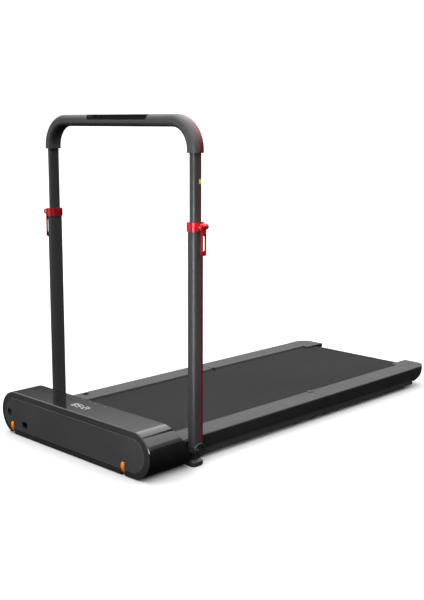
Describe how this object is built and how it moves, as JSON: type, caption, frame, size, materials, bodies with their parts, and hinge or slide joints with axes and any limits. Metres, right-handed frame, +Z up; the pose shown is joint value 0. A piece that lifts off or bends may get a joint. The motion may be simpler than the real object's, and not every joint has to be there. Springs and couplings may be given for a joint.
{
  "type": "folding walking pad treadmill",
  "caption": "Low motorised walking treadmill whose deck folds in half, with a telescoping handrail that folds down over the deck",
  "frame": {"origin": "on the floor under the middle of the unfolded machine's bounding box", "axes": "+X right and -Y front as the housing is faced, +Y along the deck towards its rear end, +Z up"},
  "size_m": [0.731, 1.5, 1.021],
  "materials": {
    "gloss_black": "high gloss black acrylic cover",
    "panel_grey": "fine textured dark grey ABS",
    "bevel_black": "satin black moulding",
    "black_plastic": "matte black ABS",
    "socket_black": "black nylon",
    "circuit_board": "solder mask",
    "rail_grey": "fine textured mid grey",
    "belt_rubber": "textured PVC running belt",
    "deck_board": "phenolic faced fibreboard",
    "post_grey": "dark grey powder coat",
    "frame_black": "black powder coat",
    "red_anodised": "red anodised",
    "red_strip": "dark red lacquer",
    "grip_grey": "soft touch dark grey",
    "tray_rubber": "moulded rubber",
    "base_grey": "dark grey ABS",
    "cap_two_tone": "mid grey top above a matte black side",
    "hinge_grey": "dark grey powder coat",
    "foot_rubber": "moulded rubber",
    "drive_rubber": "ribbed rubber",
    "wheel_orange": "orange polyurethane tyre on a black hub",
    "steel": "machined",
    "zinc_steel": "zinc plated",
    "motor_steel": "black enamel",
    "heat_sink": "extruded, with a black controller case"
  },
  "bodies": {
    "root": {"housing_shell": "gloss_black", "front_bezel": "bevel_black", "front_panel": "panel_grey", "housing_rear_panel": "bevel_black", "base_pan": "black_plastic", "display_board": "circuit_board", "motor_controller": "heat_sink", "motor_body": "motor_steel", "drive_belt": "drive_rubber", "power_inlet": "socket_black", "switch_bezel": "socket_black", "safety_key_socket": "socket_black", "front_frame": "frame_black", "front_running_board": "deck_board", "running_belt_front": "belt_rubber", "foot_rail_front_left": "rail_grey", "foot_rail_front_right": "rail_grey", "side_skirts_front": "black_plastic", "deck_base_front": "base_grey", "hinge_leaves_front": "hinge_grey", "rubber_feet_front": "foot_rubber", "post_brackets": "frame_black", "pivot_pins": "steel", "front_axles": "steel"},
    "rear_deck": {"rear_frame": "frame_black", "rear_running_board": "deck_board", "running_belt_rear": "belt_rubber", "foot_rails_rear": "rail_grey", "side_skirts_rear": "black_plastic", "deck_base_rear": "base_grey", "rear_end_caps": "cap_two_tone", "hinge_leaves_rear": "hinge_grey", "hinge_pins": "steel", "rubber_feet_rear": "foot_rubber", "rear_roller_axle": "steel", "tension_bolts": "zinc_steel"},
    "front_drum": {"front_roller": "steel"},
    "rear_drum": {"rear_roller": "steel"},
    "motor_spindle": {"motor_rotor": "steel"},
    "left_wheel": {"wheel_left": "wheel_orange"},
    "right_wheel": {"wheel_right": "wheel_orange"},
    "power_rocker": {"switch_rocker": "socket_black"},
    "handrail_lower": {"lower_post_left": "post_grey", "lower_post_right": "post_grey", "lower_post_strips": "red_strip", "guide_bushes": "black_plastic", "clamp_collar_left": "red_anodised", "clamp_collar_right": "red_anodised", "lever_pins": "steel"},
    "handrail_upper": {"upper_post_left": "post_grey", "upper_post_right": "post_grey", "upper_strips": "red_strip", "handle_bar": "grip_grey", "handle_corner_left": "grip_grey", "handle_corner_right": "grip_grey", "phone_tray": "tray_rubber"},
    "left_lever": {"cam_lever_left": "red_anodised"},
    "right_lever": {"cam_lever_right": "red_anodised"},
    "left_knob": {"knob_left": "socket_black"},
    "right_knob": {"knob_right": "socket_black"}
  },
  "joints": [
    {"name": "deck_fold", "type": "hinge", "parent": "root", "child": "rear_deck", "pos_m": [0, 0.1116, 0.0792], "axis": [1, 0, 0], "range_deg": [0, 180]},
    {"name": "handrail_fold", "type": "hinge", "parent": "root", "child": "handrail_lower", "pos_m": [0, -0.5364, 0.05], "axis": [-1, 0, 0], "range_deg": [0, 84]},
    {"name": "handrail_slide", "type": "slide", "parent": "handrail_lower", "child": "handrail_upper", "axis": [0, 0, -1], "range_m": [0, 0.188]},
    {"name": "left_lever_turn", "type": "hinge", "parent": "handrail_lower", "child": "left_lever", "pos_m": [-0.356, -0.5364, 0.708], "axis": [0, 1, 0], "range_deg": [0, 110]},
    {"name": "right_lever_turn", "type": "hinge", "parent": "handrail_lower", "child": "right_lever", "pos_m": [0.356, -0.5364, 0.708], "axis": [0, -1, 0], "range_deg": [0, 110]},
    {"name": "left_knob_turn", "type": "hinge", "parent": "root", "child": "left_knob", "pos_m": [-0.35, -0.5364, 0.05], "axis": [-1, 0, 0], "continuous": true},
    {"name": "right_knob_turn", "type": "hinge", "parent": "root", "child": "right_knob", "pos_m": [0.35, -0.5364, 0.05], "axis": [1, 0, 0], "continuous": true},
    {"name": "left_wheel_spin", "type": "hinge", "parent": "root", "child": "left_wheel", "pos_m": [-0.301, -0.723, 0.0278], "axis": [1, 0, 0], "continuous": true},
    {"name": "right_wheel_spin", "type": "hinge", "parent": "root", "child": "right_wheel", "pos_m": [0.247, -0.723, 0.0278], "axis": [1, 0, 0], "continuous": true},
    {"name": "front_roller_spin", "type": "hinge", "parent": "root", "child": "front_drum", "pos_m": [0, -0.6154, 0.049], "axis": [1, 0, 0], "continuous": true},
    {"name": "rear_roller_spin", "type": "hinge", "parent": "rear_deck", "child": "rear_drum", "pos_m": [0, 0.7066, 0.049], "axis": [1, 0, 0], "continuous": true},
    {"name": "motor_spin", "type": "hinge", "parent": "root", "child": "motor_spindle", "pos_m": [0, -0.6934, 0.077], "axis": [1, 0, 0], "continuous": true},
    {"name": "power_switch_rock", "type": "hinge", "parent": "root", "child": "power_rocker", "pos_m": [-0.315, -0.743, 0.0725], "axis": [-1, 0, 0], "range_deg": [0, 14]}
  ],
  "couplings": [
    {"joint": "rear_roller_spin", "follows": "front_roller_spin", "ratio": 1},
    {"joint": "motor_spin", "follows": "front_roller_spin", "ratio": 1.375}
  ]
}
